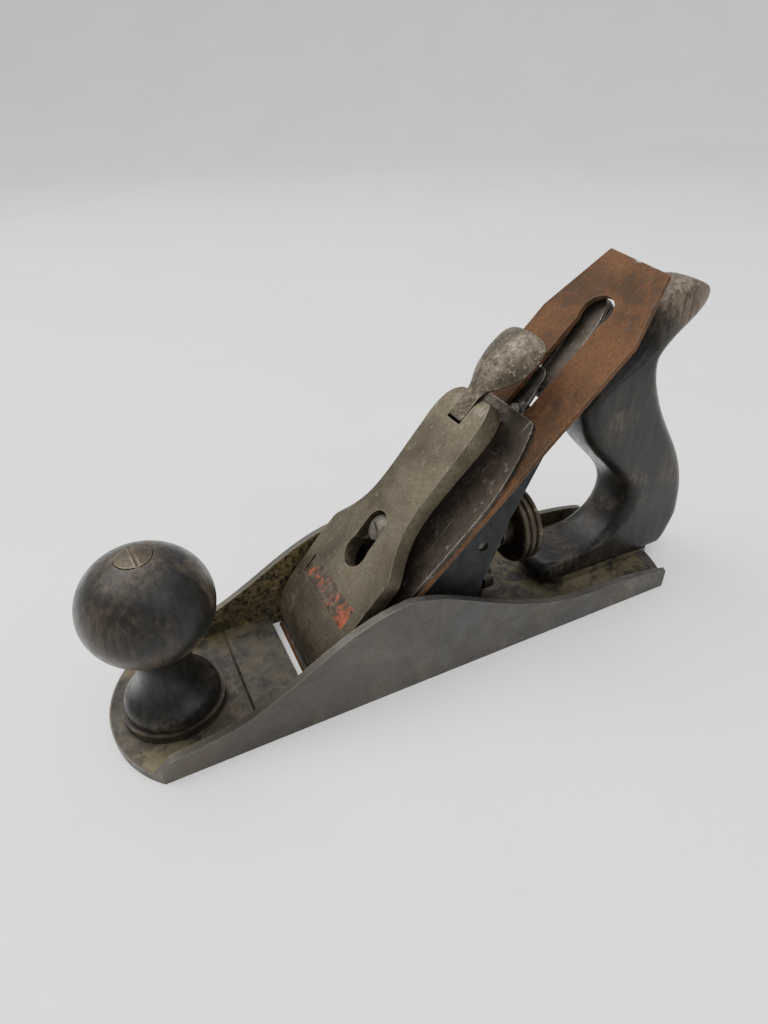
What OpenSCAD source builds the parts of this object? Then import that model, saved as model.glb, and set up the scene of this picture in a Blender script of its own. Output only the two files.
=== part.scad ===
// Metal bench plane of the Bailey pattern, smoothing size.
// X runs from the toe (-) to the heel (+), Z is up, and the origin is the
// centre of the sole's underside. Everything on the bed is drawn in the bed
// frame: x along the slope, y across, z square to the bed's face.

/* [Sole casting] */
// Length of the casting from toe to heel
sole_l = 248; // [246:1:250]
// Width of the casting over both cheeks
sole_w = 62; // [62:0.5:63]
// Thickness of the cheeks
cheek_t = 3; // [2.5:0.1:3.2]
// Thickness of the floor
floor_t = 4; // [3.6:0.1:4.2]
// Height of the cheeks at their crest
cheek_h = 43; // [41:0.5:46]
// Height of the rails along the heel
rail_h = 12; // [11:0.5:13]
// How far the toe bulges past its corners
toe_bulge = 13.5; // [12:0.5:15]
// How far the heel bulges past its corners
heel_bulge = 8.5; // [7:0.5:10]

/* [Iron] */
// Width of the iron
iron_w = 50.8; // [49.8:0.1:50.8]
// Place of the iron's square end along the bed
iron_end = 199; // [197:1:204]
// Width of the iron's end above the tapered shoulders
iron_end_w = 32; // [28:1:36]
// Angle by which the iron is set askew
iron_skew = 1.4; // [1.2:0.1:1.5]

/* [Handles] */
// Radius of the knob's ball
knob_r = 23; // [21:0.5:24]
// Height of the middle of the knob's ball
knob_ball_z = 53.5; // [51:0.5:55]
// Thickness of the tote
tote_t = 24; // [22:0.5:26]

/* [Depth adjuster] */
// Radius of the brass wheel
wheel_r = 16.5; // [15:0.5:17.5]

/* [Hidden] */
$fn = 64;

half_w = sole_w / 2;
inner_w = sole_w - 2 * cheek_t;
toe_x = -sole_l / 2;
heel_x = sole_l / 2;
toe_r = (half_w * half_w + toe_bulge * toe_bulge) / (2 * toe_bulge);
heel_r = (half_w * half_w + heel_bulge * heel_bulge) / (2 * heel_bulge);

// Throat and bed
bed_angle = 45;
bed_x = -48.4;          // where the bed's face meets the sole
mouth_front = -54.2;
mouth_w = inner_w - 0.8;
bed_gap = 0.3;
iron_t = 2;
lip_h = 1;

// Frog and the two lands that it stands on
land_z = 8.4;
land_w = 44;
frog_base_z = land_z + 0.05;
frog_w = 46;
frog_screw_x = -8;
frog_screw_y = 12;
frog_ledge_z = 14.5;
frog_travel = 1;
adjust_z = 12.5;
adjust_r = 3.2;
lug_x = 25;
lug_l = 7;

// Stations along the bed
lever_screw_u = 65;
tooth_u = 84;
cap_screw_u = 100;
disc_u = 115;
lateral_u = 130;
skew_u = 20;            // where the skewed iron crosses the middle plane
frog_end_u = 136;
depth_travel = 1.6;
lever_swing = asin(95 * sin(iron_skew) / (lateral_u - disc_u));

// Y lever
y_pin_t = -12;
y_pin_r = 2;
tooth_t = 3;
pin_x = bed_x + (tooth_u - y_pin_t) * sin(bed_angle);
pin_z = (tooth_u + y_pin_t) * sin(bed_angle);

// Depth nut
stud_z = 38;
stud_r = 3.5;
groove_x = 38;
groove_w = 4.8;
hub_r = 8;
groove_r = 5.5;
wheel_x = 45;
wheel_l = 9.5;

// Lever cap
cap_foot_u = 6;
cap_end_u = 126.5;
cap_wide = 24.8;
cap_narrow = 13.8;
cam_u = 120;
cam_t = 14;
cam_pin_r = 1.5;
keyhole_r = 6.6;
keyhole_step = 12.5;
lever_shank_r = 3.3;
lever_head_r = 5.4;
head_seat_t = 12.6;

// Knob and tote
knob_x = -100;
knob_base_z = 6.5;
knob_base_r = 17;
rod_r = 3;
tote_base_z = 7;
tote_foot_x = 121;
tote_deck_x = 98;
tote_deck_z = 111;

// Points of a cubic curve, without its last point
function curve(a, b, c, d, n = 12) =
    [for (i = [0 : n - 1]) let (t = i / n, s = 1 - t)
        s * s * s * a + 3 * s * s * t * b + 3 * s * t * t * c + t * t * t * d];

// Places its children in the bed frame
module on_bed() {
    translate([bed_x, 0, 0])
        rotate([0, -bed_angle, 0])
            children();
}

// Turns its children askew in the plane of the bed, with the iron
module skewed() {
    translate([skew_u, 0, 0])
        rotate([0, 0, -iron_skew])
            translate([-skew_u, 0, 0])
                children();
}

// Swings its children about the lateral lever's rivet
module swung() {
    translate([lateral_u, 0, 0])
        rotate([0, 0, lever_swing])
            translate([-lateral_u, 0, 0])
                children();
}

// Extrudes an X-Z outline across the width w
module across(w) {
    rotate([90, 0, 0])
        linear_extrude(height = w, center = true)
            children();
}

// A straight slot with round ends, from a to b along x
module slot2d(a, b, r) {
    translate([a, 0]) circle(r = r);
    translate([b, 0]) circle(r = r);
    translate([a, -r]) square([b - a, 2 * r]);
}

// A screwdriver slot, cut down from the top of a head
module driver_slot(r, depth = 1.2, w = 1.3) {
    translate([-r - 1, -w / 2, -depth]) cube([2 * r + 2, w, depth + 2]);
}

module sole_outline() {
    intersection() {
        square([sole_l, sole_w], center = true);
        union() {
            translate([toe_x + toe_r, 0]) circle(r = toe_r, $fn = 128);
            translate([toe_x + toe_r, -half_w]) square([sole_l, sole_w]);
        }
        union() {
            translate([heel_x - heel_r, 0]) circle(r = heel_r, $fn = 128);
            translate([toe_x - 1, -half_w]) square([sole_l - heel_r + 1, sole_w]);
        }
    }
}

// Side view of a cheek: low at the toe, a crest over the bed, a low heel rail
module cheek_outline() {
    crest_x = -16;
    polygon(concat(
        [[toe_x - 1, 0], [toe_x - 1, floor_t]],
        curve([-113, floor_t], [-109, 10], [-105, 10.5], [-100, 11], 6),
        curve([-100, 11], [-65, 12.5], [-47, cheek_h - 2.5], [crest_x, cheek_h], 20),
        curve([crest_x, cheek_h], [5, cheek_h], [33, rail_h + 2], [72, rail_h + 1.5], 20),
        curve([72, rail_h + 1.5], [90, rail_h + 1.2], [100, rail_h], [112, rail_h - 2.5], 8),
        [[112, rail_h - 2.5], [118, rail_h - 4], [heel_x + 1, rail_h - 5], [heel_x + 1, 0]]));
}

module cheeks() {
    intersection() {
        linear_extrude(height = cheek_h + 2) difference() {
            sole_outline();
            square([sole_l + 2, inner_w], center = true);
        }
        across(sole_w + 2) cheek_outline();
    }
}

// Raised tongue under the tote
module tote_seat() {
    linear_extrude(height = tote_base_z) intersection() {
        slot2d(74, 119, tote_t / 2 - 0.1);
        sole_outline();
    }
}

module knob_boss() {
    translate([knob_x, 0, 0]) difference() {
        cylinder(h = knob_base_z + 1, r = knob_base_r + 2);
        translate([0, 0, knob_base_z]) cylinder(h = 2, r = knob_base_r + 0.3);
    }
}

module throat() {
    slope = bed_x + bed_gap / sin(bed_angle);
    across(mouth_w) polygon([[mouth_front, -1], [slope - 1, -1],
                             [slope + 12, 12], [mouth_front, 12]]);
}

module body() {
    color([0.27, 0.26, 0.25]) difference() {
        union() {
            linear_extrude(height = floor_t) sole_outline();
            cheeks();
            across(inner_w + 1) polygon([[-78, 1], [-74, floor_t + lip_h],
                                         [mouth_front + 1, floor_t + lip_h], [mouth_front + 1, 1]]);
            translate([-46, -land_w / 2, 1]) cube([14, land_w, land_z - 1]);
            translate([-20, -land_w / 2, 1]) cube([33, land_w, land_z - 1]);
            translate([lug_x, -7, 1]) cube([lug_l, 14, adjust_z + 5]);
            knob_boss();
            tote_seat();
        }
        throat();
        for (s = [-1, 1])
            translate([frog_screw_x, s * frog_screw_y, 2]) cylinder(h = 8, r = 2.6);
        translate([lug_x - 1, 0, adjust_z])
            rotate([0, 90, 0]) cylinder(h = lug_l + 2, r = adjust_r + 0.05);
        translate([knob_x, 0, 1.6]) cylinder(h = 8, r = rod_r);
        tote_rod(2.9, -2, 4.8);
    }
}

// Frog side view, with its sloping face just under the iron
module frog_outline() {
    face_t = -0.05;
    end = frog_end_u * sin(bed_angle);
    polygon([[bed_x + frog_base_z + 0.1, frog_base_z],
             [bed_x + end + 0.05, end - 0.05],
             [bed_x + end + 6.5, end - 6.5],
             [31, 59], [18.3, 28.5], [13, 28], [13, frog_base_z]]);
}

module frog() {
    color([0.10, 0.11, 0.13]) difference() {
        across(frog_w) frog_outline();
        // shoulders taper towards the top
        on_bed() for (s = [-1, 1]) scale([1, s, 1]) translate([0, 0, -60])
            linear_extrude(height = 70) polygon([[94, frog_w / 2 + 1], [94, frog_w / 2],
                [frog_end_u + 6, 15.5], [frog_end_u + 6, frog_w / 2 + 1]]);
        // room for the Y lever behind the face
        across(26) polygon([[10.6, 45.5], [10.6, 49], [31.6, 70], [60, 70], [60, 45.5]]);
        // hollow under the face
        across(9) polygon([[-27, 0], [-27, 17], [-16, 26], [4, 26], [4, 0]]);
        for (s = [-1, 1])
            translate([frog_screw_x - frog_travel / 2, s * frog_screw_y, 0]) {
                linear_extrude(height = 20) slot2d(-0.7, 0.7, 3.3);
                translate([0, 0, frog_ledge_z]) cylinder(h = 40, r = 7);
            }
        on_bed() {
            translate([lever_screw_u, 0, -9.2]) cylinder(h = 12, r = 3);
            translate([tooth_u - 5, -3.4, -10]) cube([10, 6.8, 12]);
            skewed() translate([0, 0, -4.4]) linear_extrude(height = 6)
                slot2d(cap_screw_u - depth_travel, cap_screw_u + depth_travel, 8.2);
            translate([disc_u - 8, -10.5, -2.9]) cube([30, 21, 4]);
            translate([lateral_u, 0, -7]) cylinder(h = 12, r = 2.5);
        }
        translate([pin_x, 0, pin_z]) rotate([90, 0, 0])
            cylinder(h = frog_w + 2, r = y_pin_r, center = true);
        translate([10, 0, stud_z]) rotate([0, 90, 0]) cylinder(h = 20, r = stud_r + 0.05);
        translate([8, 0, adjust_z]) rotate([0, 90, 0]) cylinder(h = 10, r = 5);
        translate([6, 0, 22]) rotate([0, 90, 0]) cylinder(h = 15, r = 2);
    }
}

module frog_screws() {
    color([0.33, 0.30, 0.27])
        for (s = [-1, 1]) translate([frog_screw_x, s * frog_screw_y, 0]) difference() {
            union() {
                translate([0, 0, 2.4]) cylinder(h = 14, r = 2.6);
                translate([0, 0, frog_ledge_z + 1.5]) cylinder(h = 4, r = 4.8);
            }
            translate([0, 0, frog_ledge_z + 5.5]) rotate([0, 0, 30 * s]) driver_slot(4.8);
        }
}

module frog_washers() {
    color([0.36, 0.33, 0.30])
        for (s = [-1, 1]) translate([frog_screw_x, s * frog_screw_y, frog_ledge_z + 0.1])
            difference() {
                cylinder(h = 1.4, r = 5.6);
                translate([0, 0, -1]) cylinder(h = 4, r = 2.6);
            }
}

// Captive in the fork of the plate, threaded through the lug on the floor
module frog_adjusting_screw() {
    color([0.35, 0.32, 0.28]) translate([0, 0, adjust_z]) rotate([0, 90, 0]) difference() {
        union() {
            translate([0, 0, 10]) cylinder(h = 2.8, r = 4);
            translate([0, 0, 12]) cylinder(h = 5, r = 2.2);
            translate([0, 0, 15.7]) cylinder(h = 22, r = adjust_r);
            translate([0, 0, 35]) cylinder(h = 4.5, r = 5);
        }
        translate([0, 0, 39.5]) driver_slot(5, 1.4);
    }
}

module frog_adjusting_plate() {
    color([0.30, 0.27, 0.24]) difference() {
        translate([13, -8, frog_base_z + 0.3]) cube([2.4, 16, 18]);
        translate([12, -2.3, 0]) cube([5, 4.6, adjust_z]);
        translate([12, 0, adjust_z]) rotate([0, 90, 0]) cylinder(h = 5, r = 2.3);
        translate([12, 0, 22]) rotate([0, 90, 0]) cylinder(h = 5, r = 2);
    }
}

module frog_plate_screw() {
    color([0.35, 0.32, 0.28]) translate([0, 0, 22]) rotate([0, 90, 0]) difference() {
        union() {
            translate([0, 0, 7]) cylinder(h = 10, r = 2);
            translate([0, 0, 15.4]) cylinder(h = 2.6, r = 3.8);
        }
        translate([0, 0, 18]) driver_slot(3.8, 0.9, 1);
    }
}

// One tooth up through the bed, two legs down into the nut's groove
module y_lever() {
    arm_y = 9;
    color([0.20, 0.19, 0.18]) difference() {
        union() {
            on_bed() {
                translate([tooth_u - 1.9, -2.2, y_pin_t]) cube([3.8, 4.4, tooth_t - y_pin_t]);
                translate([tooth_u, 0, tooth_t]) rotate([90, 0, 0])
                    cylinder(h = 4.4, r = 1.9, center = true);
            }
            translate([pin_x, 0, pin_z]) rotate([90, 0, 0])
                cylinder(h = 22, r = 4.2, center = true);
            for (s = [-1, 1]) scale([1, s, 1]) {
                translate([pin_x, arm_y - 3, pin_z - 2.4]) cube([groove_x - pin_x + 1, 3, 4.8]);
                translate([groove_x - 1, groove_r + 0.4, stud_z - 3]) cube([2, 2.3, pin_z - stud_z + 4]);
                translate([groove_x, groove_r + 0.4, stud_z - 3]) rotate([-90, 0, 0])
                    cylinder(h = 2.3, r = 1);
            }
        }
        translate([pin_x, 0, pin_z]) rotate([90, 0, 0])
            cylinder(h = 30, r = y_pin_r + 0.05, center = true);
    }
}

module y_lever_pin() {
    color([0.45, 0.43, 0.40]) translate([pin_x, 0, pin_z]) rotate([90, 0, 0])
        cylinder(h = frog_w - 2, r = y_pin_r, center = true);
}

module depth_stud() {
    color([0.40, 0.37, 0.33]) translate([12.6, 0, stud_z]) rotate([0, 90, 0]) {
        cylinder(h = 45, r = stud_r);
        translate([0, 0, 45]) cylinder(h = 0.8, r1 = stud_r, r2 = stud_r - 0.8);
    }
}

// Half section of the nut: grooved hub, then a wheel with three ridges
module nut_section() {
    front = groove_x - groove_w / 2 - 2.4;
    back = groove_x + groove_w / 2;
    bore = stud_r + 0.05;
    ridge = wheel_l / 3;
    polygon(concat(
        [[bore, front], [hub_r, front], [hub_r, front + 2.4], [groove_r, front + 2.4],
         [groove_r, back], [hub_r, back], [hub_r, wheel_x], [wheel_r - 2.2, wheel_x]],
        [for (k = [0 : 2]) for (a = [-80 : 20 : 80])
            [wheel_r - 1.6 + 1.6 * cos(a), wheel_x + ridge * (k + 0.5 + 0.42 * sin(a))]],
        [[wheel_r - 2.2, wheel_x + wheel_l], [6.5, wheel_x + wheel_l - 1.5],
         [6.5, wheel_x + wheel_l + 0.6], [bore, wheel_x + wheel_l + 0.6]]));
}

module depth_nut() {
    color([0.47, 0.42, 0.27]) translate([0, 0, stud_z]) rotate([0, 90, 0])
        rotate_extrude($fn = 96) nut_section();
}

// Flat arm on the frog's face, turned on edge into a fin above the frog
module lateral_lever() {
    fin = [[142, -2.7], [142, -1.1], [152, -1.4], [172, -2.6], [184, -3.6], [186.5, -6],
           [186, -10], [182, -12.5], [168, -10.5], [150, -6]];
    color([0.30, 0.28, 0.26]) on_bed() swung() {
        difference() {
            translate([0, 0, -2.7]) linear_extrude(height = 1.6) {
                slot2d(disc_u, lateral_u, 5.6);
                translate([lateral_u, -4.5]) square([16, 9]);
                translate([lateral_u + 16, 0]) circle(r = 4.5);
            }
            translate([lateral_u, 0, -4]) cylinder(h = 6, r = 2.55);
            translate([disc_u, 0, -4]) cylinder(h = 6, r = 2);
        }
        across(1.8) polygon(fin);
        // flange along the fin, and the thumb tab under its end
        translate([0, 0, -4.4]) linear_extrude(height = 1.8)
            polygon([[140, -4], [145, -9], [174, -11], [182, -9], [187, -4],
                     [187, 2.5], [182, 4], [140, 0.9]]);
        translate([178, 0, -12.4]) linear_extrude(height = 1.8) slot2d(0, 5, 5);
    }
}

module lateral_disc() {
    color([0.38, 0.35, 0.32]) on_bed() swung() translate([disc_u, 0, 0]) {
        translate([0, 0, -1.05]) cylinder(h = 2.9, r = 5.6);
        translate([0, 0, -2.7]) cylinder(h = 2, r = 1.95);
    }
}

module lateral_rivet() {
    color([0.42, 0.40, 0.37]) on_bed() translate([lateral_u, 0, -6.8]) {
        cylinder(h = 6, r = 2.5);
        translate([0, 0, 5.8]) cylinder(h = 0.85, r = 3.6);
    }
}

// Plan of the iron, with tapered shoulders and the keyhole slot
module iron_plan() {
    shoulder_u = 171;
    difference() {
        polygon([[-3, -iron_w / 2], [shoulder_u, -iron_w / 2], [iron_end - 1.3, -iron_end_w / 2],
                 [iron_end + 1.3, iron_end_w / 2], [shoulder_u, iron_w / 2], [-3, iron_w / 2]]);
        slot2d(56, 176, 6);
        translate([176, 0]) circle(r = 7.2);
    }
}

module blade() {
    edge_u = 0.15 - iron_t;
    color([0.44, 0.32, 0.25]) on_bed() skewed() intersection() {
        linear_extrude(height = iron_t) iron_plan();
        across(iron_w + 2) polygon([[edge_u, iron_t], [edge_u + 4.3, 0],
                                    [iron_end + 3, 0], [iron_end + 3, iron_t]]);
    }
}

module cap_iron_plan() {
    half = iron_w / 2 - 0.4;
    top_u = 131;
    right = concat([[-2, -half]],
                   curve([92, -half], [110, -half + 0.5], [123, -19.5], [top_u - 2, -16], 12),
                   curve([top_u - 2, -16], [top_u - 0.5, -15.5], [top_u, -14], [top_u, -12], 4));
    difference() {
        polygon(concat(right, [[top_u, 0]],
                       [for (i = [len(right) - 1 : -1 : 0]) [right[i][0], -right[i][1]]]));
        slot2d(58, 72, 6);
        translate([tooth_u - 2.4, -4.4]) square([4.8, 8.8]);
        translate([cap_screw_u, 0]) circle(r = 4);
    }
}

// Side view of the cap iron, with its sprung hump over the cutting edge
module cap_iron_side() {
    t0 = iron_t;
    t1 = 2 * iron_t;
    polygon(concat(
        curve([-0.4, t0], [2, t0 + 3], [5, t0 + 4.8], [12, t0 + 4.8], 8),
        curve([12, t0 + 4.8], [20, t0 + 4.8], [24, t1], [34, t1], 8),
        [[34, t1], [140, t1], [140, t0], [34, t0]],
        curve([32, t0], [24, t0], [19, t0 + 2.8], [12, t0 + 2.8], 8),
        curve([12, t0 + 2.8], [7, t0 + 2.8], [4, t0 + 2], [1.2, t0], 6)));
}

module cap_iron() {
    color([0.27, 0.23, 0.21]) on_bed() skewed() intersection() {
        linear_extrude(height = 12) cap_iron_plan();
        across(iron_w) cap_iron_side();
    }
}

module cap_iron_screw() {
    color([0.33, 0.30, 0.28]) on_bed() skewed() translate([cap_screw_u, 0, 0]) difference() {
        union() {
            translate([0, 0, -3.6]) cylinder(h = 3.5, r = 7.5);
            translate([0, 0, -1]) cylinder(h = 5.4, r = 3.92);
        }
        translate([0, 0, -3.6]) mirror([0, 0, 1]) driver_slot(7.5, 1.3, 1.5);
    }
}

// Plan of the lever cap: wide foot, waisted neck, rounded end
module lever_cap_plan() {
    right = concat(
        [[cap_foot_u, -cap_wide + 1.5], [cap_foot_u + 1.5, -cap_wide]],
        curve([51, -cap_wide], [55.5, -cap_wide], [56.5, -23.5], [61, -20.3], 6),
        curve([61, -20.3], [67, -16.2], [73, -cap_narrow], [84, -cap_narrow], 10),
        curve([84, -cap_narrow], [92, -cap_narrow], [100, -cap_narrow - 0.5],
              [112, -cap_narrow - 0.5], 4),
        curve([112, -cap_narrow - 0.5], [119, -cap_narrow - 0.5], [cap_end_u - 0.5, -cap_narrow + 2],
              [cap_end_u, -cap_narrow + 7], 10));
    polygon(concat(right, [for (i = [len(right) - 1 : -1 : 0]) [right[i][0], -right[i][1]]]));
}

module lever_cap_side() {
    polygon(concat(
        [[cap_foot_u - 1, 6.9]],
        curve([cap_foot_u - 1, 7.6], [10, 12.5], [16, 14], [28, 15], 8),
        curve([28, 15], [60, 17], [90, 18], [112, 19.5], 8),
        curve([112, 19.5], [122, 20], [127, 19.5], [cap_end_u + 1, 15.5], 6),
        [[cap_end_u + 1, 11.6], [88, 11.6], [60, 10.4], [28, 9.2], [14, 7], [10, 6.9]]));
}

module lever_cap() {
    hole_u = lever_screw_u - keyhole_step;
    color([0.49, 0.46, 0.40]) on_bed() difference() {
        intersection() {
            linear_extrude(height = 24) lever_cap_plan();
            across(60) lever_cap_side();
        }
        linear_extrude(height = 24) slot2d(hole_u, lever_screw_u, lever_shank_r + 0.5);
        linear_extrude(height = 24) translate([hole_u, 0]) circle(r = keyhole_r);
        translate([0, 0, head_seat_t]) linear_extrude(height = 12)
            slot2d(hole_u, lever_screw_u, lever_head_r + 0.5);
        // recessed panel, tilted with the top face
        translate([33, 0, 14.75]) rotate([0, -3.2, 0])
            translate([-4.5, -19.5, 0]) cube([9, 39, 4]);
        // fork for the cam lever
        translate([cam_u - 6.4, -4.3, 0]) cube([30, 8.6, 24]);
        translate([cam_u, 0, cam_t]) rotate([90, 0, 0])
            cylinder(h = 8.6, r = 8.4, center = true);
        translate([cam_u, 0, cam_t]) rotate([90, 0, 0])
            cylinder(h = 60, r = cam_pin_r, center = true);
        translate([100, 0, 9]) cylinder(h = 6, r = 1.6);
    }
}

// Cam in the fork, stem along the neck, rounded thumb pad past the end
module cam_lever() {
    color([0.43, 0.40, 0.35]) on_bed() difference() {
        union() {
            translate([cam_u, 0, cam_t]) rotate([90, 0, 0])
                cylinder(h = 8, r = 5.6, center = true);
            translate([cam_u + 0.8, 0, cam_t - 2.4]) rotate([90, 0, 0])
                cylinder(h = 8, r = 5.2, center = true);
            across(8) polygon([[cam_u - 5.6, cam_t], [cam_u - 5.6, 19.7], [cam_u + 6, 20.2],
                               [135, 21.6], [135, 16.6], [cam_u + 5, 12]]);
            intersection() {
                translate([141, 0, 3.2]) sphere(r = 20, $fn = 72);
                translate([141.4, 0, 0]) cylinder(h = 30, r = 13);
                translate([128, -14, 16]) cube([30, 28, 14]);
            }
        }
        // the pad is a shell, hollow underneath
        intersection() {
            translate([141, 0, 3.2]) sphere(r = 17.8, $fn = 72);
            translate([143.4, 0, 0]) cylinder(h = 30, r = 9.4);
        }
        translate([cam_u, 0, cam_t]) rotate([90, 0, 0])
            cylinder(h = 12, r = cam_pin_r + 0.05, center = true);
    }
}

module cam_pin() {
    color([0.50, 0.48, 0.44]) on_bed() translate([cam_u, 0, cam_t]) rotate([90, 0, 0])
        cylinder(h = 2 * cap_narrow - 3, r = cam_pin_r, center = true);
}

// Leaf spring between the cam and the cap iron
module lever_cap_spring() {
    color([0.36, 0.37, 0.40]) on_bed() difference() {
        across(9) polygon([[94, 11.6], [94, 10.8], [106, 10.8], [118, 5], [125, 4.4],
                           [125, 5.2], [118, 5.8], [106.2, 11.6]]);
        translate([100, 0, 8]) cylinder(h = 4, r = 1.6);
    }
}

module spring_rivet() {
    color([0.46, 0.44, 0.40]) on_bed() translate([100, 0, 10.1]) {
        cylinder(h = 4.2, r = 1.6);
        cylinder(h = 0.7, r = 2.8);
    }
}

module lever_cap_screw() {
    color([0.46, 0.43, 0.39]) on_bed() translate([lever_screw_u, 0, 0]) difference() {
        union() {
            translate([0, 0, -9]) cylinder(h = 9, r = 3);
            cylinder(h = head_seat_t + 0.3, r = lever_shank_r);
            intersection() {
                translate([0, 0, head_seat_t + 0.1]) cylinder(h = 6, r = lever_head_r);
                translate([0, 0, head_seat_t - 4.8]) sphere(r = 9);
            }
        }
        translate([0, 0, head_seat_t + 4.2]) rotate([0, 0, 70]) driver_slot(lever_head_r, 1.2, 1.4);
    }
}

// Half section of the knob: flared foot, waist, flattened ball
module knob_section() {
    ball_h = 0.9 * knob_r;
    top = knob_ball_z + ball_h;
    polygon(concat(
        [[3.4, knob_base_z], [knob_base_r - 0.8, knob_base_z]],
        curve([knob_base_r, knob_base_z + 1], [knob_base_r + 0.6, knob_base_z + 4],
              [knob_base_r, knob_base_z + 6], [knob_base_r - 1.5, knob_base_z + 7.5], 6),
        curve([knob_base_r - 1.5, knob_base_z + 7.5], [10.5, knob_base_z + 12],
              [9.6, knob_base_z + 18], [10.2, knob_base_z + 24], 10),
        [for (a = [-58 : 6 : 74]) [knob_r * cos(a), knob_ball_z + ball_h * sin(a)]],
        [[6.2, top - 0.9], [6.2, top - 5], [4.6, top - 5], [4.6, top - 14], [3.4, top - 14]]));
}

module knob() {
    color([0.13, 0.12, 0.11]) translate([knob_x, 0, 0])
        rotate_extrude($fn = 96) knob_section();
}

module knob_bolt() {
    color([0.40, 0.37, 0.33]) translate([knob_x, 0, 1.8])
        cylinder(h = knob_ball_z + 3, r = rod_r);
}

module knob_nut() {
    top = knob_ball_z + 0.9 * knob_r;
    color([0.36, 0.33, 0.27]) translate([knob_x, 0, top]) difference() {
        union() {
            translate([0, 0, -13.5]) cylinder(h = 10, r = 4.5);
            intersection() {
                translate([0, 0, -4.6]) cylinder(h = 6, r = 6);
                translate([0, 0, -17.5]) sphere(r = 18);
            }
        }
        translate([0, 0, 0.5]) rotate([0, 0, -85]) driver_slot(6, 1.4, 1.3);
        translate([0, 0, -14]) cylinder(h = 10, r = rod_r);
    }
}

// Side view of the tote: nose, finger throat, deck, horn and palm swell
module tote_outline() {
    z0 = tote_base_z;
    polygon(concat(
        [[61, z0]],
        curve([60, z0 + 2], [60, 14], [64, 17], [71, 17], 6),
        curve([71, 17], [86, 16], [97, 20], [102, 30], 8),
        curve([102, 30], [106, 38], [106, 44], [99, 51], 8),
        curve([99, 51], [90, 60], [77, 70], [72, 84], 10),
        curve([72, 84], [70, 90], [72, 93], [77, 96], 6),
        curve([77, 96], [88, 102], [97, 107], [101, 118], 8),
        curve([101, 118], [104, 126], [107, 133], [115, 133.5], 8),
        curve([115, 133.5], [122, 134], [129, 130], [126, 125], 8),
        curve([126, 125], [122, 119], [107, 112], [107, 102], 10),
        curve([107, 102], [107, 89], [136, 66], [136, 34], 14),
        curve([136, 34], [136, 24], [134, 16], [133, 11], 6),
        [[132, z0]]));
}

// The tote's rod line, from the casting (0) up to the deck
module tote_rod(r, from, to) {
    rise = tote_deck_z - tote_base_z;
    lean = atan2(tote_deck_x - tote_foot_x, rise);
    translate([tote_foot_x, 0, tote_base_z]) rotate([0, lean, 0])
        translate([0, 0, from]) cylinder(h = to - from, r = r);
}

module tote() {
    color([0.14, 0.14, 0.14]) difference() {
        across(tote_t) tote_outline();
        tote_rod(rod_r + 0.2, -3, 120);
        tote_rod(4.7, 92, 120);
        tote_rod(6.2, 99.5, 135);
    }
}

module tote_bolt() {
    color([0.40, 0.37, 0.33]) tote_rod(2.9, -1.8, 98);
}

module tote_nut() {
    color([0.44, 0.40, 0.27]) difference() {
        union() {
            tote_rod(4.5, 92.5, 100);
            tote_rod(6, 99.7, 102.6);
        }
        tote_rod(2.9, 80, 98);
        translate([tote_foot_x, 0, tote_base_z])
            rotate([0, atan2(tote_deck_x - tote_foot_x, tote_deck_z - tote_base_z), 0])
                translate([0, 0, 102.6]) driver_slot(6, 1.3, 1.3);
    }
}

body();
frog();
frog_screws();
frog_washers();
frog_adjusting_screw();
frog_adjusting_plate();
frog_plate_screw();
y_lever();
y_lever_pin();
depth_stud();
depth_nut();
lateral_lever();
lateral_disc();
lateral_rivet();
blade();
cap_iron();
cap_iron_screw();
lever_cap();
cam_lever();
cam_pin();
lever_cap_spring();
spring_rivet();
lever_cap_screw();
knob();
knob_bolt();
knob_nut();
tote();
tote_bolt();
tote_nut();
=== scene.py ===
import math

import bmesh
import bpy
from mathutils import Matrix, Vector


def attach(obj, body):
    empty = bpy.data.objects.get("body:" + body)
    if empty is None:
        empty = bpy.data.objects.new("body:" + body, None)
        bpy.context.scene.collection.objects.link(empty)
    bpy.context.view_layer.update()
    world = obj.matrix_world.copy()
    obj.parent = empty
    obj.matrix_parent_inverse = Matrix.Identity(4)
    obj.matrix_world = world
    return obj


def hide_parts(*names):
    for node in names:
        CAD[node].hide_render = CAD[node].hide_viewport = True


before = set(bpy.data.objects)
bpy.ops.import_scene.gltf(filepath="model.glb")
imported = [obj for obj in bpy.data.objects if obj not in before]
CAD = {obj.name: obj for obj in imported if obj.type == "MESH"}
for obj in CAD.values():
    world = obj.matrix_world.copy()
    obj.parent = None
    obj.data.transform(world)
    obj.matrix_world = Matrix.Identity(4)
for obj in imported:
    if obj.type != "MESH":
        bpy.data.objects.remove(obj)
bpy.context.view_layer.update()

MM = 0.001
BED_X = -48.4 * MM          # where the bed meets the sole
R2 = math.sqrt(0.5)         # the bed stands at 45 degrees

# The casting's tray, in metres: its side walls, its deck, its round toe and its heel
INNER_WALL = 0.02812
DECK_TOP = 0.0007
TOE_CENTRE, TOE_INNER_RADIUS = -0.0818, 0.0415
HEEL_END = 0.1165


# ---------------------------------------------------------------- helpers
def bed(u, y, t):
    """A point of the bed frame (mm) in the row frame (metres)."""
    return Vector((BED_X + (u - t) * R2 * MM, y * MM, (u + t) * R2 * MM))


def new_object(name, mesh, material, body, *nodes, slot=None):
    """A smooth shaded object that rides a body and takes the place of the CAD nodes named."""
    obj = bpy.data.objects.new(name, mesh)
    bpy.context.scene.collection.objects.link(obj)
    mesh.materials.append(material)
    for face in mesh.polygons:
        face.use_smooth = True
    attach(obj, body)
    if nodes:
        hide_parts(*nodes)
    return obj


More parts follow.
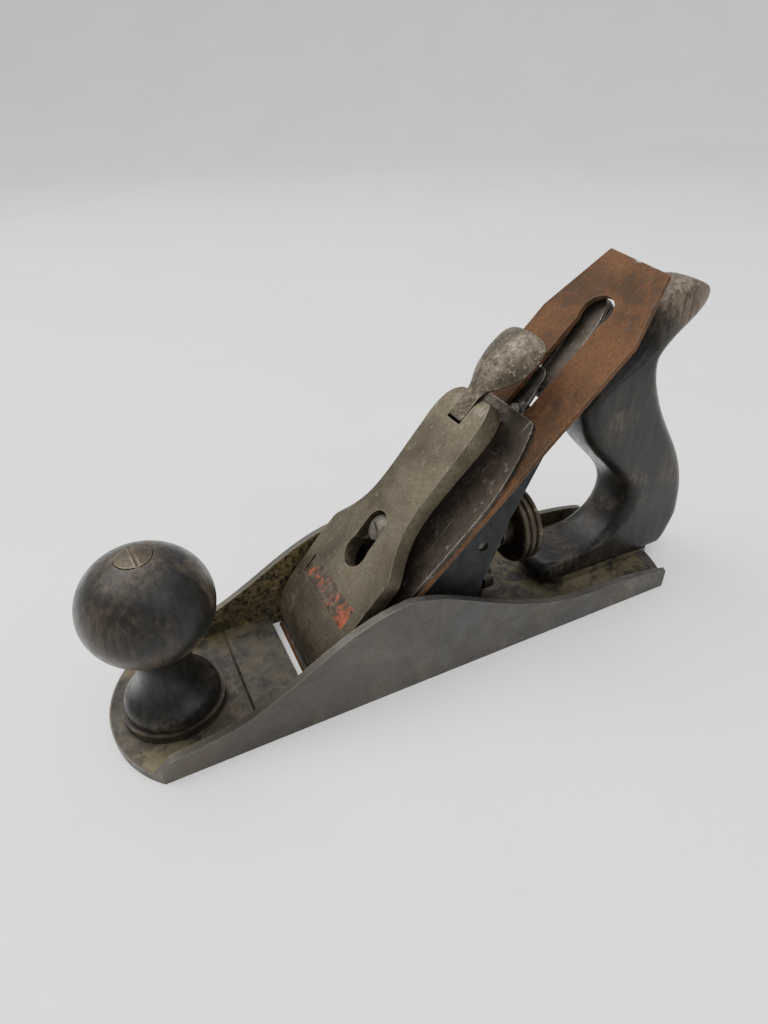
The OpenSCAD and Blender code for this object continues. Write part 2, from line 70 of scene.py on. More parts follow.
def bezier(a, b, c, d, n):
    """n points of a cubic curve from a towards d, without d itself."""
    out = []
    for i in range(n):
        t = i / n
        s = 1 - t
        out.append(tuple(s ** 3 * a[k] + 3 * s * s * t * b[k] + 3 * s * t * t * c[k] + t ** 3 * d[k]
                         for k in range(len(a))))
    return out


def bevel(obj, width):
    """Rounded edges, width in mm."""
    mod = obj.modifiers.new("edge", "BEVEL")
    mod.width = width * MM
    mod.segments = 2
    mod.limit_method = "ANGLE"
    mod.angle_limit = math.radians(32)
    mod.use_clamp_overlap = True
    mod.harden_normals = False


# ---------------------------------------------------------------- materials
class Mat:
    """A small builder for node materials. Sizes are in millimetres."""

    def __init__(self, name):
        self.mat = bpy.data.materials.new(name)
        self.mat.use_nodes = True
        self.tree = self.mat.node_tree
        self.bsdf = self.tree.nodes["Principled BSDF"]
        self.coord = self.node("ShaderNodeTexCoord").outputs["Object"]

    def node(self, kind, **props):
        n = self.tree.nodes.new(kind)
        for key, value in props.items():
            setattr(n, key, value)
        return n

    def link(self, value, socket):
        if isinstance(value, (int, float)):
            socket.default_value = value
        elif isinstance(value, (tuple, list)):
            colour = len(value) == 3 and len(socket.default_value) == 4
            socket.default_value = (*value, 1.0) if colour else value
        else:
            self.tree.links.new(value, socket)

    def math(self, op, a, b=0.0):
        n = self.node("ShaderNodeMath", operation=op)
        for value, socket in zip((a, b), n.inputs):
            self.link(value, socket)
        return n.outputs[0]

    def mul(self, a, b):
        return self.math("MULTIPLY", a, b)

    def add(self, a, b):
        return self.math("ADD", a, b)

    def sub(self, a, b):
        return self.math("SUBTRACT", a, b)

    def higher(self, a, b):
        return self.math("MAXIMUM", a, b)

    def below(self, a, limit):
        return self.math("LESS_THAN", a, limit)

    def above(self, a, limit):
        return self.math("GREATER_THAN", a, limit)

    def magnitude(self, a):
        return self.math("ABSOLUTE", a)

    def stretched(self, sx, sy, sz, rot=(0, 0, 0)):
        n = self.node("ShaderNodeMapping")
        self.link(self.coord, n.inputs["Vector"])
        n.inputs["Rotation"].default_value = rot
        n.inputs["Scale"].default_value = (sx, sy, sz)
        return n.outputs[0]

    def noise(self, size, detail=6.0, rough=0.6, warp=0.0, vec=None):
        n = self.node("ShaderNodeTexNoise")
        self.link(vec or self.coord, n.inputs["Vector"])
        n.inputs["Scale"].default_value = 1 / (size * MM)
        n.inputs["Detail"].default_value = detail
        n.inputs["Roughness"].default_value = rough
        n.inputs["Distortion"].default_value = warp
        return n.outputs["Fac"]

    def cells(self, size):
        n = self.node("ShaderNodeTexVoronoi")
        self.link(self.coord, n.inputs["Vector"])
        n.inputs["Scale"].default_value = 1 / (size * MM)
        return n.outputs["Distance"]

    def step(self, value, low, high, to_low=0.0, to_high=1.0):
        n = self.node("ShaderNodeMapRange", interpolation_type="SMOOTHSTEP")
        sockets = {"Value": value, "From Min": low, "From Max": high,
                   "To Min": to_low, "To Max": to_high}
        for key, v in sockets.items():
            self.link(v, n.inputs[key])
        return n.outputs[0]

    def mix(self, fac, a, b):
        n = self.node("ShaderNodeMix", data_type="RGBA")
        self.link(fac, n.inputs[0])
        self.link(a, n.inputs[6])
        self.link(b, n.inputs[7])
        return n.outputs[2]

    def blend(self, fac, a, b):
        n = self.node("ShaderNodeMix", data_type="FLOAT")
        self.link(fac, n.inputs[0])
        self.link(a, n.inputs[2])
        self.link(b, n.inputs[3])
        return n.outputs[0]

    def xyz(self):
        n = self.node("ShaderNodeSeparateXYZ")
        self.link(self.coord, n.inputs[0])
        return n.outputs

    def edges(self, radius, low=0.02, high=0.22):
        """1 along edges, 0 on flat faces."""
        round_ = self.node("ShaderNodeBevel", samples=6)
        round_.inputs["Radius"].default_value = radius * MM
        dot = self.node("ShaderNodeVectorMath", operation="DOT_PRODUCT")
        self.link(round_.outputs[0], dot.inputs[0])
        self.link(self.node("ShaderNodeNewGeometry").outputs["Normal"], dot.inputs[1])
        sharp = self.sub(1.0, dot.outputs["Value"])
        return self.step(sharp, low, high)

    def bump(self, height, depth):
        n = self.node("ShaderNodeBump")
        n.inputs["Strength"].default_value = 1.0
        n.inputs["Distance"].default_value = depth * MM
        self.link(height, n.inputs["Height"])
        return n.outputs[0]

    def done(self, color, rough, metallic, normal, spec=0.5, coat=0.0):
        self.link(color, self.bsdf.inputs["Base Color"])
        self.link(rough, self.bsdf.inputs["Roughness"])
        self.link(metallic, self.bsdf.inputs["Metallic"])
        self.bsdf.inputs["Specular IOR Level"].default_value = spec
        self.bsdf.inputs["Coat Weight"].default_value = coat
        self.bsdf.inputs["Coat Roughness"].default_value = 0.3
        self.link(normal, self.bsdf.inputs["Normal"])
        return self.mat


def worn_metal(name, base, dark, rust, edge, rust_amount=0.5, size=18.0, rough=(0.42, 0.68),
               metallic=0.75, pit=0.5, edge_mm=0.5, scratch=0.25, shade=None, spec=0.5):
    """Old bare metal: drifting tone, rust in patches, dark pits, fine scratches, brighter edges.

    shade(m, color, fine) adds what only one piece has before the roughness is worked out.
    """
    m = Mat(name)
    broad = m.noise(size * 2.2, 4, 0.55, 0.4)
    fine = m.noise(size * 0.22, 8, 0.68)
    grain = m.noise(0.9, 3, 0.6)
    color = m.mix(m.step(broad, 0.36, 0.64), dark, base)
    threshold = 0.66 - 0.22 * rust_amount
    patchy = m.add(m.mul(broad, 0.5), m.mul(fine, 0.6))
    rust_fac = m.mul(m.step(patchy, threshold, threshold + 0.16), 0.85)
    color = m.mix(rust_fac, color, rust)
    color = m.mix(m.mul(m.step(fine, 0.5, 0.72), 0.45), color, dark)
    pits = m.step(m.cells(2.3), 0.05, 0.30)
    pit_mask = m.mul(m.sub(1.0, pits), m.step(m.noise(6.0, 5, 0.6), 0.52, 0.62))
    color = m.mix(m.mul(pit_mask, pit), color, dark)
    speckle = m.mul(m.step(m.noise(1.1, 5, 0.68), 0.47, 0.60), 0.50)
    color = m.mix(speckle, color, dark)
    along = m.noise(3.0, 2, 0.5, vec=m.stretched(0.06, 1.0, 1.0, (0.2, 0.1, 0.35)))
    across = m.noise(2.4, 2, 0.5, vec=m.stretched(0.05, 1.2, 0.3, (0.5, 0.9, 1.1)))
    marks = m.higher(m.step(along, 0.66, 0.70), m.step(across, 0.68, 0.72))
    color = m.mix(m.mul(marks, scratch), color, edge)
    worn = m.mul(m.edges(edge_mm), m.step(fine, 0.34, 0.56))
    color = m.mix(m.mul(worn, 0.8), color, edge)
    if shade:
        color = shade(m, color, fine)
    rough_v = m.blend(m.step(fine, 0.3, 0.7), rough[0], rough[1])
    rough_v = m.blend(rust_fac, rough_v, 0.82)
    rough_v = m.blend(m.mul(worn, 0.8), rough_v, 0.34)
    metal = m.blend(rust_fac, metallic, metallic * 0.25)
    height = m.add(m.mul(fine, 0.55), m.mul(grain, 0.18))
    height = m.sub(height, m.mul(pit_mask, 0.5))
    height = m.sub(height, m.mul(marks, 0.06))
    return m.done(color, rough_v, metal, m.bump(height, 0.28), spec=spec)


def casting_shade(m, color, fine):
    """Black lacquer under brown dust inside the casting, and bare patinated iron outside it."""
    x, y, z = m.xyz()
    side = m.magnitude(y)
    dx = m.sub(x, TOE_CENTRE)
    arc = m.math("SQRT", m.add(m.mul(dx, dx), m.mul(y, y)))
    front = m.higher(m.below(arc, TOE_INNER_RADIUS), m.above(x, -0.085))
    tray = m.mul(m.below(side, INNER_WALL), m.above(z, DECK_TOP))
    tray = m.mul(tray, m.mul(front, m.below(x, HEEL_END)))
    dust = m.noise(9.0, 9, 0.72, 0.5)
    speck = m.noise(1.6, 6, 0.7)
    broad = m.noise(30.0, 4, 0.6)
    enamel = m.mix(m.step(dust, 0.42, 0.60), (0.016, 0.015, 0.013), (0.046, 0.037, 0.022))
    enamel = m.mix(m.mul(m.step(speck, 0.52, 0.68), 0.60), enamel, (0.062, 0.050, 0.030))

    # golden dust on the cheeks' inner walls, ahead of the frog
    wall = m.step(side, 0.0272, 0.0279)
    gold = m.mul(m.mul(wall, m.step(speck, 0.40, 0.56)), m.step(broad, 0.32, 0.48))
    gold = m.mul(gold, m.step(x, -0.035, 0.005, 1.0, 0.0))
    enamel = m.mix(gold, enamel, (0.190, 0.145, 0.068))

    # olive dust along the foot of those walls
    foot = m.mul(m.step(side, 0.0185, 0.0265), m.step(x, -0.066, -0.058, 1.0, 0.0))
    foot = m.mul(foot, m.mul(m.below(z, 0.0056), m.step(dust, 0.34, 0.54)))
    enamel = m.mix(m.mul(foot, 0.7), enamel, (0.130, 0.108, 0.056))

    # brown dust on the deck behind the frog
    rear_dust = m.mul(m.step(x, 0.02, 0.09), m.step(dust, 0.38, 0.55))
    enamel = m.mix(m.mul(rear_dust, 0.8), enamel, (0.115, 0.097, 0.058))

    # the lip ahead of the mouth is worn darker
    lip = m.mul(m.above(x, -0.0745), m.below(x, -0.050))
    lip = m.mul(lip, m.step(dust, 0.40, 0.60))
    enamel = m.mix(m.mul(lip, 0.6), enamel, (0.040, 0.035, 0.023))

    # a stain in the toe's near corner
    stain = m.mul(m.below(x, -0.094), m.below(y, -0.017))
    stain = m.mul(stain, m.below(z, 0.0046))
    stain = m.mul(stain, m.step(m.noise(7.0, 8, 0.7), 0.42, 0.58))
    enamel = m.mix(m.mul(stain, 0.55), enamel, (0.120, 0.102, 0.058))

    # slate grey patches on the outside, more of them towards the heel
    patches = m.step(m.noise(26.0, 8, 0.68, 0.4), 0.36, 0.58, 0.15, 1.0)
    slate = m.mul(m.step(x, -0.09, 0.02), patches)
    color = m.mix(m.mul(slate, 0.80), color, (0.044, 0.042, 0.041))
    return m.mix(tray, color, enamel)


iron_cast = worn_metal("cast_iron_patina", (0.094, 0.085, 0.068), (0.044, 0.039, 0.032),
                       (0.100, 0.069, 0.041), (0.160, 0.142, 0.112), rust_amount=0.58, size=26,
                       rough=(0.44, 0.64), metallic=0.45, edge_mm=0.7, scratch=0.07,
                       shade=casting_shade)


def bed_coords(m):
    """The bed frame in a material: u up the bed and t off it in mm, y across in metres."""
    x, y, z = m.xyz()
    run = m.sub(x, BED_X)
    return m.mul(m.add(run, z), R2 / MM), y, m.mul(m.sub(z, run), R2 / MM)


def blade_shade(m, color, fine):
    """Chips of pale paint along the iron's square end."""
    u, y, t = bed_coords(m)
    near_end = m.step(u, 195.6, 199.4)
    chips = m.step(m.add(m.noise(2.6, 5, 0.65), m.mul(near_end, 0.30)), 0.80, 0.83)
    side = m.step(y, -0.007, -0.001, 1.0, 0.0)
    color = m.mix(m.mul(m.mul(chips, side), near_end), color, (0.66, 0.63, 0.56))
    speck = m.step(m.noise(1.3, 4, 0.6), 0.70, 0.74)
    return m.mix(m.mul(speck, 0.5), color, (0.19, 0.125, 0.085))


blade_mat = worn_metal("rusty_iron", (0.100, 0.051, 0.025), (0.044, 0.025, 0.014),
                       (0.106, 0.048, 0.021), (0.15, 0.115, 0.08), rust_amount=0.95, size=13,
                       rough=(0.60, 0.84), metallic=0.25, pit=0.7, scratch=0.12,
                       shade=blade_shade, spec=0.18)
# also used for the lateral lever: there the darkness is partly its own dull steel and partly painted
# shade for the hollow between frog and iron
cap_iron_and_shaded_lever_mat = worn_metal("dark_cap_iron_and_shaded_lever", (0.062, 0.049, 0.036), (0.030, 0.023, 0.017),
                          (0.074, 0.044, 0.026), (0.30, 0.28, 0.25), rust_amount=0.55, size=14,
                          rough=(0.40, 0.66), metallic=0.6, pit=0.6, edge_mm=0.8)

# The panel's place up the bed in mm, and how its floor climbs
PANEL_U, PANEL_SLOPE = 33.0, 0.056


def cap_shade(m, color, fine):
    """The lever cap's recessed panel keeps flakes of orange red paint."""
    u, y, t = bed_coords(m)
    off_centre = m.sub(u, PANEL_U)
    floor = m.below(m.sub(t, m.mul(off_centre, PANEL_SLOPE)), 15.05)
    inside = m.below(m.magnitude(off_centre), 4.6)
    across = m.below(m.magnitude(y), 0.0196)
    panel = m.mul(m.mul(floor, inside), m.mul(across, m.above(t, 14.0)))
    grime = m.mix(m.step(fine, 0.40, 0.62), (0.052, 0.041, 0.031), (0.105, 0.086, 0.062))
    near = m.step(y, -0.016, 0.016, 0.075, -0.02)
    flake = m.step(m.add(m.noise(6.5, 10, 0.80), near), 0.555, 0.585)
    faded = m.step(m.noise(1.2, 4, 0.6), 0.4, 0.65)
    paint = m.mix(faded, (0.32, 0.080, 0.042), (0.17, 0.058, 0.037))
    return m.mix(panel, color, m.mix(flake, grime, paint))


nickel = worn_metal("worn_nickel", (0.120, 0.104, 0.070), (0.052, 0.042, 0.027),
                    (0.080, 0.057, 0.031), (0.24, 0.21, 0.15), rust_amount=0.38, size=15,
                    rough=(0.38, 0.58), metallic=0.72, pit=0.85, edge_mm=0.6, shade=cap_shade)


def pad_shade(m, color, fine):
    """Plating eaten through in dark specks, with bright flecks between them that are painted
    highlights, glints of light off the pitted plating.
    """
    eaten = m.mul(m.step(m.noise(3.4, 10, 0.80), 0.50, 0.56), 0.80)
    color = m.mix(eaten, color, (0.034, 0.026, 0.017))
    # painted highlights: bright flecks standing in for glints of light off the pitted plating
    painted_glints = m.mul(m.step(m.noise(1.6, 8, 0.78), 0.57, 0.60), 0.50)
    return m.mix(painted_glints, color, (0.34, 0.30, 0.235))


nickel_plain = worn_metal("worn_nickel_lever", (0.150, 0.127, 0.088), (0.055, 0.043, 0.029),
                          (0.082, 0.058, 0.034), (0.34, 0.30, 0.23), rust_amount=0.45, size=11,
                          rough=(0.40, 0.60), metallic=0.70, pit=0.95, edge_mm=0.6, shade=pad_shade)
steel = worn_metal("oxidised_steel", (0.115, 0.100, 0.085), (0.050, 0.042, 0.035),
                   (0.120, 0.072, 0.044), (0.33, 0.31, 0.28), rust_amount=0.5, size=7,
                   rough=(0.36, 0.60), metallic=0.75)
bright_steel = worn_metal("rubbed_steel", (0.088, 0.078, 0.061), (0.042, 0.036, 0.028),
                          (0.075, 0.052, 0.033), (0.20, 0.18, 0.145), rust_amount=0.35, size=6,
                          rough=(0.42, 0.60), metallic=0.6)
brass = worn_metal("dull_brass", (0.120, 0.096, 0.066), (0.052, 0.042, 0.030),
                   (0.080, 0.060, 0.040), (0.27, 0.23, 0.15), rust_amount=0.45, size=8,
                   rough=(0.36, 0.60), metallic=0.85, edge_mm=0.9, pit=0.4)


def lacquer():
    """Blue black enamel, chipped to iron along edges, with brown dust in patches."""
    m = Mat("black_lacquer")
    fine = m.noise(4.0, 8, 0.66)
    dust = m.noise(14.0, 8, 0.7, 0.5)
    color = m.mix(m.step(fine, 0.35, 0.7), (0.0085, 0.0088, 0.0095), (0.016, 0.0165, 0.018))
    color = m.mix(m.mul(m.step(dust, 0.54, 0.70), 0.45), color, (0.085, 0.064, 0.042))
    worn = m.mul(m.edges(0.6), m.step(fine, 0.46, 0.60))
    color = m.mix(m.mul(worn, 0.8), color, (0.13, 0.11, 0.095))
    rough = m.blend(m.step(dust, 0.4, 0.7), 0.46, 0.78)
    height = m.add(m.mul(fine, 0.6), m.mul(m.noise(1.1, 4, 0.6), 0.25))
    return m.done(color, rough, 0.0, m.bump(height, 0.22), spec=0.14)


frog_mat = lacquer()


def ebonised(name, patches, worn):
    """Black stained hardwood: faint long grain, brown where hands wore it, scuffs, chips and dents.

    patches are (centre in mm, radius in mm, strength) of the rubbed places, and worn is the
    colour of the bare wood there.
    """
    m = Mat(name)
    grain = m.noise(2.2, 5, 0.62, 0.6, vec=m.stretched(1.0, 1.0, 0.09, (0.0, 0.12, 0.0)))
    broad = m.noise(24.0, 5, 0.6, 0.4)
    fine = m.noise(3.0, 8, 0.7)
    color = m.mix(m.step(grain, 0.35, 0.70), (0.0090, 0.0086, 0.0080), (0.019, 0.0175, 0.0155))
    worn_all_over = m.add(m.mul(broad, 0.7), m.mul(fine, 0.35))
    rub = m.mul(m.step(worn_all_over, 0.54, 0.68), 0.42)
    patchy = m.step(m.add(m.mul(broad, 0.5), m.mul(fine, 0.5)), 0.34, 0.56)
    for centre, radius, strength in patches:
        away = m.node("ShaderNodeVectorMath", operation="DISTANCE")
        m.link(m.coord, away.inputs[0])
        away.inputs[1].default_value = tuple(c * MM for c in centre)
        near = m.step(away.outputs["Value"], radius * 0.35 * MM, radius * MM, 1.0, 0.0)
        rub = m.higher(rub, m.mul(m.mul(near, patchy), strength))
    brown = m.mix(m.step(grain, 0.35, 0.65), (0.046, 0.034, 0.024), worn)
    color = m.mix(rub, color, brown)
    streaks = m.noise(2.0, 3, 0.6, 1.2, vec=m.stretched(1.0, 1.0, 0.25, (0.4, 0.3, 0.2)))
    scuff = m.step(streaks, 0.735, 0.77)
    color = m.mix(m.mul(scuff, 0.5), color, (0.17, 0.145, 0.125))
    chips = m.mul(m.edges(0.9, 0.03, 0.2), m.step(fine, 0.50, 0.60))
    color = m.mix(m.mul(chips, 0.55), color, (0.13, 0.10, 0.08))
    rough = m.blend(m.step(fine, 0.3, 0.7), 0.27, 0.46)
    rough = m.blend(rub, rough, 0.52)
    height = m.add(m.mul(grain, 0.30), m.mul(fine, 0.45))
    height = m.add(height, m.mul(broad, 0.8))
    height = m.sub(height, m.mul(scuff, 0.25))
    return m.done(color, rough, 0.0, m.bump(height, 0.20), spec=0.17, coat=0.03)


knob_mat = ebonised("black_wood_knob",
                    [((-104, -4, 77), 17, 0.5), ((-116, -14, 60), 14, 0.25),
                     ((-112, -16, 43), 12, 0.45), ((-90, -15, 41), 9, 0.7)],
                    (0.115, 0.083, 0.054))
tote_mat = ebonised("black_wood_tote",
                    [((131, -10, 52), 15, 0.45), ((118, -4, 127), 24, 1.0), ((112, -6, 112), 14, 0.6),
                     ((95, -11, 12), 12, 0.2), ((134, 0, 22), 12, 0.3)],
                    (0.135, 0.104, 0.074))

# Each CAD node's material, and how wide its edges are rounded in mm
NODE_MATERIAL = {
    "body": (iron_cast, 0.7), "frog": (frog_mat, 0.5), "frog_screws": (steel, 0.25),
    "frog_washers": (steel, 0.2), "frog_adjusting_screw": (steel, 0.25),
    "frog_adjusting_plate": (steel, 0.25), "frog_plate_screw": (steel, 0.2),
    "y_lever": (frog_mat, 0.35), "y_lever_pin": (steel, 0.2), "depth_stud": (steel, 0.2),
    # the lateral lever takes the cap iron's dark finish: its own dull steel, made darker as painted
    # shade for the hollow between frog and iron
    "depth_nut": (brass, 0.3), "lateral_lever": (cap_iron_and_shaded_lever_mat, 0.3), "lateral_disc": (steel, 0.2),
    "lateral_rivet": (steel, 0.2), "blade": (blade_mat, 0.25), "cap_iron": (cap_iron_and_shaded_lever_mat, 0.25),
    "cap_iron_screw": (steel, 0.25), "lever_cap": (nickel, 0.8), "cam_lever": (nickel_plain, 0.5),
    "cam_pin": (steel, 0.2), "lever_cap_spring": (steel, 0.15), "spring_rivet": (steel, 0.15),
    "lever_cap_screw": (bright_steel, 0.3), "knob": (knob_mat, 0.4), "knob_bolt": (steel, 0.2),
    "knob_nut": (brass, 0.3), "tote": (tote_mat, 1.0), "tote_bolt": (steel, 0.2),
    "tote_nut": (brass, 0.3),
}
for node_name, (material, width) in NODE_MATERIAL.items():
    obj = CAD[node_name]
    obj.data.materials.clear()
    obj.data.materials.append(material)
    for face in obj.data.polygons:
        face.use_smooth = True
    obj.data.set_sharp_from_angle(angle=math.radians(24))
    bevel(obj, width)


# ---------------------------------------------------------------- handles and thumb lever, sculpted
def circle(radius, n):
    """n points (p, q) round a circle."""
    angles = [math.tau * i / n for i in range(n)]
    return [(radius * math.cos(a), radius * math.sin(a)) for a in angles]


def loft_mesh(name, rings):
    """A closed mesh through rings of equally many points, with a flat cap at both ends."""
    bm = bmesh.new()
    loops = [[bm.verts.new(p) for p in ring] for ring in rings]
    for low, high in zip(loops, loops[1:]):
        n = len(low)
        for i in range(n):
            bm.faces.new((low[i], low[(i + 1) % n], high[(i + 1) % n], high[i]))
    bm.faces.new(list(reversed(loops[0])))
    bm.faces.new(loops[-1])
    bmesh.ops.recalc_face_normals(bm, faces=bm.faces)
    mesh = bpy.data.meshes.new(name)
    bm.to_mesh(mesh)
    bm.free()
    return mesh


def smooth(obj, levels):
    """Subdivision, the same when seen and when rendered."""
    sub = obj.modifiers.new("smooth", "SUBSURF")
    sub.levels = sub.render_levels = levels


def rounded_ring(a, h, radius, arc=7, side=8):
    """Points (s, y) round a rectangle of half sizes a by h with round corners."""
    rx = min(radius, a * 0.98)
    ry = min(radius, h * 0.98)
    in_a, in_h = a - rx, h - ry
    # each corner's centre, then where the straight side that follows it ends
    corners = (((in_a, in_h), (-in_a, h)), ((-in_a, in_h), (-a, -in_h)),
               ((-in_a, -in_h), (in_a, -h)), ((in_a, -in_h), (a, in_h)))
    points = []
    for k, ((cx, cy), (nx, ny)) in enumerate(corners):
        for i in range(arc + 1):
            angle = math.radians(90 * (k + i / arc))
            points.append((cx + rx * math.cos(angle), cy + ry * math.sin(angle)))
        px, py = points[-1]
        count = side if k % 2 == 0 else 2
        points += [(px + (nx - px) * i / count, py + (ny - py) * i / count) for i in range(1, count)]
    return points


# Each row: front edge (x, z), back edge (x, z), half thickness, all in mm
TOTE = [
    ((62.5, 7.0), (131.8, 7.0), 11.2), ((60.4, 8.2), (134.0, 7.9), 12.0),
    ((60.0, 12.0), (136.0, 11.5), 12.2), ((62.3, 15.7), (137.2, 14.8), 12.2),
    ((68.0, 17.3), (138.3, 17.6), 12.2), ((76.0, 16.9), (139.2, 20.2), 12.2),
    ((84.0, 17.4), (139.8, 23.0), 12.2), ((91.0, 19.8), (139.7, 26.0), 12.2),
    ((97.0, 23.8), (139.3, 29.5), 12.2), ((101.2, 28.6), (138.8, 34.0), 12.3),
    ((103.4, 34.5), (137.6, 39.3), 12.4), ((103.6, 40.5), (135.8, 45.0), 12.5),
    ((101.4, 46.6), (133.4, 51.0), 12.5), ((97.2, 52.3), (130.2, 57.0), 12.4),
    ((92.0, 57.6), (126.6, 63.0), 12.3), ((86.5, 63.0), (122.3, 69.0), 12.2),
    ((81.0, 68.5), (118.4, 75.0), 12.1), ((76.6, 74.5), (114.7, 81.0), 12.0),
    ((73.5, 81.0), (111.6, 87.0), 12.0), ((71.8, 87.5), (109.2, 92.5), 12.0),
    ((72.8, 92.7), (107.8, 97.0), 12.0), ((77.0, 96.3), (107.2, 100.2), 11.9),
    ((83.0, 99.6), (107.1, 102.8), 11.8), ((89.0, 103.0), (107.4, 105.2), 11.6),
    ((94.5, 106.6), (109.0, 107.2), 11.4), ((98.6, 111.4), (111.6, 109.6), 11.3),
    ((101.6, 117.0), (115.0, 112.2), 11.2), ((104.2, 122.6), (118.8, 114.8), 11.1),
    ((107.0, 127.4), (122.8, 117.6), 10.9), ((110.4, 130.8), (126.4, 120.6), 10.6),
    ((114.4, 132.6), (129.0, 123.8), 10.0), ((118.4, 132.8), (130.0, 126.6), 9.0),
    ((122.2, 131.9), (129.4, 128.6), 7.2),
]
rings = []
for (fx, fz), (kx, kz), half in TOTE:
    front, back = Vector((fx, 0, fz)), Vector((kx, 0, kz))
    mid, along = (front + back) / 2, back - front
    length = along.length / 2
    along.normalize()
    rings.append([(mid + along * sx + Vector((0, sy, 0))) * MM
                  for sx, sy in rounded_ring(length, half, 6.0)])
tote = new_object("tote_grip", loft_mesh("tote_grip", rings), tote_mat, "plane", "tote",
                  slot="black_wood")
smooth(tote, 1)

# counterbore for the tote's nut, along the rod
rod_base, rod_top = Vector((121, 0, 7)), Vector((98, 0, 111))
rod = (rod_top - rod_base).normalized()
across = Vector((0, 1, 0))
side = rod.cross(across)
SEAT, BEYOND, BORE_RADIUS = 99.4, 135.0, 6.3        # from the rod's foot, along the rod
cut_rings = []
for d, radius in ((SEAT, 0.5), (SEAT, BORE_RADIUS), (BEYOND, BORE_RADIUS), (BEYOND, 0.5)):
    middle = rod_base + rod * d
    cut_rings.append([(middle + side * p + across * q) * MM for p, q in circle(radius, 48)])
cutter = bpy.data.objects.new("tote_counterbore", loft_mesh("tote_counterbore", cut_rings))
hole = tote.modifiers.new("counterbore", "BOOLEAN")
hole.object = cutter
hole.operation = "DIFFERENCE"
hole.solver = "EXACT"
bpy.context.scene.collection.objects.link(cutter)
bpy.context.view_layer.update()
applied = bpy.data.meshes.new_from_object(tote.evaluated_get(bpy.context.evaluated_depsgraph_get()))
tote.modifiers.clear()
tote.data = applied
applied.set_sharp_from_angle(angle=math.radians(50))
bpy.data.objects.remove(cutter)


def lathe(name, profile, centre, n=128):
    """A turned mesh about a vertical axis; profile is (radius, z) in mm, bottom to top."""
    return loft_mesh(name, [[Vector((centre + p, q, z)) * MM for p, q in circle(radius, n)]
                            for radius, z in profile])


# The knob: a turned foot and waist, then a slightly flattened ball from its underside to the nut
KNOB_X, FOOT_Z, BOLT_RADIUS = -100.0, 6.5, 3.4
NECK = (12.0, 35.6)
BALL_RADIUS, BALL_Z = 23.0, 53.5
BALL_HALF = BALL_RADIUS * 0.9
profile = [(BOLT_RADIUS, FOOT_Z), (15.6, FOOT_Z), (16.6, 6.7), (17.3, 7.5)]
profile += bezier((17.5, 8.4), (17.8, 10.4), (17.2, 12.4), (15.8, 13.8), 8)
profile += bezier((15.8, 13.8), (11.4, 17.6), (9.8, 22.5), (10.0, 28.0), 12)
profile += bezier((10.0, 28.0), (10.1, 31.0), (10.6, 33.2), NECK, 8)
start = math.asin((NECK[1] - BALL_Z) / BALL_HALF) + 0.02
end = math.radians(73.5)
for i in range(47):
    angle = start + (end - start) * i / 46
    profile.append((BALL_RADIUS * math.cos(angle), BALL_Z + BALL_HALF * math.sin(angle)))
top_z = BALL_Z + BALL_HALF
profile += [(6.25, top_z - 0.85), (6.2, top_z - 1.2), (6.2, top_z - 4.9), (BOLT_RADIUS, top_z - 5.0)]
knob = new_object("front_knob", lathe("front_knob", profile, KNOB_X), knob_mat, "plane", "knob",
                  slot="black_wood")
knob.data.set_sharp_from_angle(angle=math.radians(48))

# Each row: place along the bed, half width, crown, rim, thickness
PAD = [
    (114.7, 3.7, 19.5, 19.45, 4.6), (115.0, 4.0, 19.85, 19.7, 5.4), (122.0, 4.0, 20.2, 19.95, 5.6),
    (127.0, 4.3, 20.7, 20.2, 5.2), (129.3, 6.0, 21.4, 19.6, 4.4), (131.6, 8.2, 22.1, 18.8, 3.5),
    (134.6, 10.4, 22.8, 17.7, 2.8), (138.4, 12.1, 23.2, 16.8, 2.4), (142.4, 13.0, 23.1, 16.3, 2.3),
    (146.4, 13.3, 22.6, 16.1, 2.2), (149.9, 13.0, 21.8, 16.1, 2.2), (152.5, 11.8, 20.8, 16.3, 2.1),
    (154.1, 9.6, 19.6, 16.6, 1.9), (154.9, 6.6, 18.4, 16.8, 1.5),
]
rings = []
DOME = 0.62                 # 0.5 is an ellipse across the pad, 1 a parabola
RIM_THICKNESS = 0.7
steps = [math.sin(math.radians(-90 + 180 * i / 16)) for i in range(17)]
for u, w, crown, rim, thick in PAD:
    low_w = w - 0.35 * min(thick, 1.2)
    low_rim = rim - RIM_THICKNESS
    top = [bed(u, w * v, rim + (crown - rim) * (1 - v * v) ** DOME) for v in steps]
    low = [bed(u, low_w * v, low_rim + (crown - thick - low_rim) * (1 - v * v) ** DOME)
           for v in reversed(steps)]
    rings.append(top + low)
pad_mesh = loft_mesh("thumb_lever", rings)

# The cam's barrel round its pin: a circle, and a second one set off it that makes the lobe
CAM_U, CAM_T, BARREL_RADIUS = 120, 14, 5.6
LOBE_CENTRE, LOBE_RADIUS = Vector((0.8, -2.4)), 5.2
lobe = []
for x, y in circle(1, 56):
    d = Vector((x, y))
    near = d.dot(LOBE_CENTRE)
    reach = near + math.sqrt(max(LOBE_RADIUS ** 2 - LOBE_CENTRE.length ** 2 + near ** 2, 0))
    lobe.append(d * max(BARREL_RADIUS, reach))
ends = ((-4.0, 0.30), (-4.0, 0.96), (-3.75, 1.0), (3.75, 1.0), (4.0, 0.96), (4.0, 0.30))
barrel = loft_mesh("cam_barrel", [[bed(CAM_U + q.x * k, y, CAM_T + q.y * k) for q in lobe]
                                  for y, k in ends])
bm = bmesh.new()
bm.from_mesh(pad_mesh)
bm.from_mesh(barrel)
bm.to_mesh(pad_mesh)
bm.free()
thumb = new_object("thumb_lever", pad_mesh, nickel_plain, "cam", "cam_lever", slot="worn_nickel")
thumb.data.set_sharp_from_angle(angle=math.radians(55))
smooth(thumb, 2)


# ---------------------------------------------------------------- floor, light and camera
# In metres: the disc's radius, the radius of the round up to the wall, and the wall's top
FLAT, SWEEP, WALL_TOP = 1.6, 1.2, 1.6


